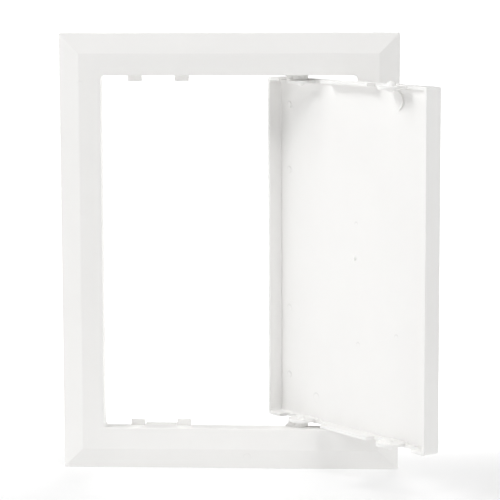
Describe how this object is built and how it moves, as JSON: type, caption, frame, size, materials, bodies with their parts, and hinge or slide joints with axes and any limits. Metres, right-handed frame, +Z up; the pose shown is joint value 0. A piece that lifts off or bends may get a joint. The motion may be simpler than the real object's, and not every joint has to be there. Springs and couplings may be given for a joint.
{
  "type": "access panel",
  "caption": "Small plastic access panel: a bevelled frame with a mounting collar behind it, and a tray-shaped door that swings on snap lugs.",
  "frame": {"origin": "middle of the frame's opening, on the plane of the wall or ceiling that the flange's back rests on", "axes": "+Z up along the frame's longer side, +Y into the wall, away from whoever faces the panel, and +X to the right, towards the hinge side"},
  "size_m": [0.1861, 0.102, 0.218],
  "materials": {
    "frame_plastic": "white satin moulded plastic",
    "door_plastic": "white satin moulded plastic"
  },
  "bodies": {
    "frame": {"frame": "frame_plastic"},
    "door": {"door": "door_plastic"}
  },
  "joints": [
    {"name": "door_hinge", "type": "hinge", "parent": "frame", "child": "door", "pos_m": [0.0352, 0.0033, 0], "axis": [0, 0, 1], "range_deg": [-128.7, 13]}
  ]
}
